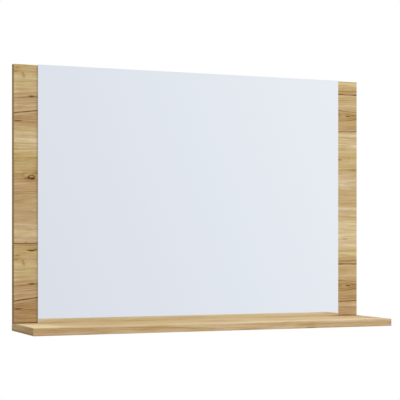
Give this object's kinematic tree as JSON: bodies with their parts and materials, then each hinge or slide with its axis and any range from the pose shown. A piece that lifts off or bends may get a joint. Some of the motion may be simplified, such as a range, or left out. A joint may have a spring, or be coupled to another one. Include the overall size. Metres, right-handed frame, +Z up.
{
  "type": "mirror with shelf",
  "caption": "Frameless wall mirror on a wood-decor back board that stands on a full-width shelf, hung on the wall by keyhole plates let into its back.",
  "frame": {"origin": "on the plane of the wall, midway between the round entries of the two keyhole plates", "axes": "+X along the mirror to the viewer's right, +Y into the wall, +Z up; the front faces -Y"},
  "size_m": [0.82, 0.17, 0.5623],
  "materials": {
    "oak_decor": "satin",
    "oak_edging": "satin",
    "mirror_glass": "polished",
    "mirror_coat": "satin",
    "foam_tape": "matte",
    "zinc_steel": "satin",
    "cap_plastic": "satin",
    "beech": "matte"
  },
  "bodies": {
    "root": {"back_board": "oak_decor", "shelf_board": "oak_decor", "back_edging_top": "oak_edging", "back_edging_left": "oak_edging", "back_edging_right": "oak_edging", "shelf_edging_front": "oak_edging", "shelf_edging_left": "oak_edging", "shelf_edging_right": "oak_edging", "mirror_glass": "mirror_glass", "mirror_coat": "mirror_coat", "keyhole_plate_left": "zinc_steel", "keyhole_plate_right": "zinc_steel", "plate_screw_1": "zinc_steel", "plate_screw_2": "zinc_steel", "plate_screw_3": "zinc_steel", "plate_screw_4": "zinc_steel", "mirror_tape_1": "foam_tape", "mirror_tape_2": "foam_tape", "mirror_tape_3": "foam_tape", "mirror_tape_4": "foam_tape", "mirror_tape_5": "foam_tape", "mirror_tape_6": "foam_tape", "shelf_screw_1": "zinc_steel", "shelf_screw_2": "zinc_steel", "shelf_screw_3": "zinc_steel", "shelf_screw_4": "zinc_steel", "shelf_screw_5": "zinc_steel", "screw_cap_1": "cap_plastic", "screw_cap_2": "cap_plastic", "screw_cap_3": "cap_plastic", "screw_cap_4": "cap_plastic", "screw_cap_5": "cap_plastic", "shelf_dowel_1": "beech", "shelf_dowel_2": "beech", "shelf_dowel_3": "beech", "shelf_dowel_4": "beech"}
  },
  "joints": []
}
